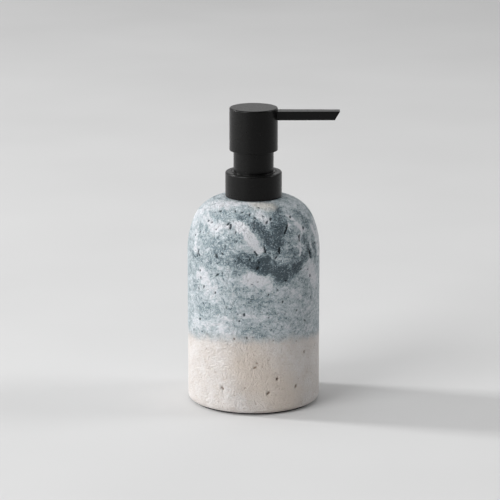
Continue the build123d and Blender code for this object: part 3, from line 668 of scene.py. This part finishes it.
rod = add(tree, "GeometryNodeCurveToMesh", path, section.outputs[0], inputs={"Fill Caps": True})
# the grinder takes the ends down to the spring's own length
spot = add(tree, "ShaderNodeSeparateXYZ", add(tree, "GeometryNodeInputPosition"))
ground = add(tree, "ShaderNodeMath.MAXIMUM", spot.outputs["Z"], given["Foot"])
ground = add(tree, "ShaderNodeMath.MINIMUM", ground, given["Top"])
flat = add(tree, "GeometryNodeSetPosition", rod, inputs={"Position": add(
    tree, "ShaderNodeCombineXYZ", spot.outputs["X"], spot.outputs["Y"], ground)})
soft = add(tree, "GeometryNodeSetShadeSmooth", flat)
real = add(tree, "GeometryNodeRealizeInstances", soft)
drawn = add(tree, "GeometryNodeSetMaterial", real, inputs={"Material": wire_steel})
add(tree, "NodeGroupOutput", drawn)
spring = grown("wound_return_spring", bpy.data.meshes.new("spring_seed"), tree, sizes)
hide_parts("return_spring")
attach(spring, "pump_unit")
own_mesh(spring)

# --- plunger ------------------------------------------------------------------------------------
# The stem is a milky tube that hangs from the head. The valve pin snaps into its lower end, and the
# piston slides between the two to open and shut the outlet; both are moulded like the cylinder.
finish_node("stem", tube_plastic)
for name in ("valve_pin", "piston"):
    finish_node(name, natural_plastic)

# --- head and spout -----------------------------------------------------------------------------
# A drawn stainless cap and a flat spout with a slanted mouth, coated together. A moulded black core
# joins the cap to the stem, and a black tube inside the spout brings the soap to its mouth.
for name in ("head_shell", "spout"):
    finish_node(name, coat)
for name in ("head_core", "nozzle_tube"):
    finish_node(name, black_plastic)

# --- studio -------------------------------------------------------------------------------------
# A large pale floor sheet under soft light from the left: a key a little behind, a wide window in
# front and a long strip near the floor. A fill stands on the right, a weak soft box hangs overhead,
# and a room that is pale behind and dim in front leaves dark cores in the black pump.
floor_sheet, tree, shader, in_mm = new_material("Matt_Pale_Studio_Floor")
cloudy = add(tree, "ShaderNodeTexNoise", inputs={"Vector": in_mm, "Scale": 1 / 180, "Detail": 2.0})
tint = add(tree, "ShaderNodeValToRGB", cloudy, stops=[(0.3, "#cacaca"), (0.7, "#cecece")])
tree.links.new(tint.outputs[0], shader.inputs["Base Color"])
shader.inputs["Roughness"].default_value = 0.8
shader.inputs["Specular IOR Level"].default_value = 0.05
floor_mesh = bpy.data.meshes.new("studio_floor")
floor_half = 6.0
floor_mesh.from_pydata([(x * floor_half, y * floor_half, 0.0) for x, y in
                        ((-1, -1), (1, -1), (1, 1), (-1, 1))], [], [(0, 1, 2, 3)])
floor_mesh.materials.append(floor_sheet)
studio_floor = bpy.data.objects.new("studio_floor", floor_mesh)
bpy.context.scene.collection.objects.link(studio_floor)


object_middle = Vector((0.0, 0.0, 0.09))


def panel(name, place, width, high, power):
    """A soft rectangular light turned to the object's middle, in metres and watts."""
    lamp = bpy.data.lights.new(name, "AREA")
    lamp.shape = "RECTANGLE"
    lamp.size = width
    lamp.size_y = high
    lamp.energy = power
    light = bpy.data.objects.new(name, lamp)
    bpy.context.scene.collection.objects.link(light)
    light.location = place
    to_middle = object_middle - Vector(place)
    light.rotation_euler = to_middle.to_track_quat("-Z", "Y").to_euler()
    light.visible_camera = False


panel("left_key", (-3.0, 0.73, 1.8), 0.5, 0.66, 74.0)
panel("left_window", (-3.0, -2.73, 1.8), 2.6, 3.1, 146.0)
panel("left_strip", (-2.6, 0.0, 0.4), 2.6, 0.7, 22.0)
panel("overhead", (-0.2, 0.0, 1.8), 1.4, 1.2, 9.0)
panel("right_fill", (3.4, 0.24, 2.1), 1.2, 1.4, 42.0)

world = bpy.data.worlds.new("dim_room")
bpy.context.scene.world = world
world.use_nodes = True
tree = world.node_tree
direction = add(tree, "ShaderNodeSeparateXYZ", add(tree, "ShaderNodeTexCoord").outputs["Generated"])
front_to_back = add(tree, "ShaderNodeMapRange", direction.outputs["Y"], -0.8, 0.8)
room = add(tree, "ShaderNodeValToRGB", front_to_back,
           stops=[(0.0, "#1c1c1c"), (0.5, "#585858"), (1.0, "#d4d4d4")])
tree.links.new(room.outputs[0], tree.nodes["Background"].inputs["Color"])
tree.nodes["Background"].inputs["Strength"].default_value = 1.0

lens = bpy.data.cameras.new("camera")
lens.lens = 203.25
lens.sensor_width = 36.0
camera = bpy.data.objects.new("camera", lens)
bpy.context.scene.collection.objects.link(camera)
camera.location = (0.0, -1.55892, 0.46661)
looking = Vector((-0.00126, 0.97162, -0.23656))
camera.rotation_euler = looking.to_track_quat("-Z", "Y").to_euler()
bpy.context.scene.camera = camera
bpy.context.scene.view_settings.view_transform = "Standard"
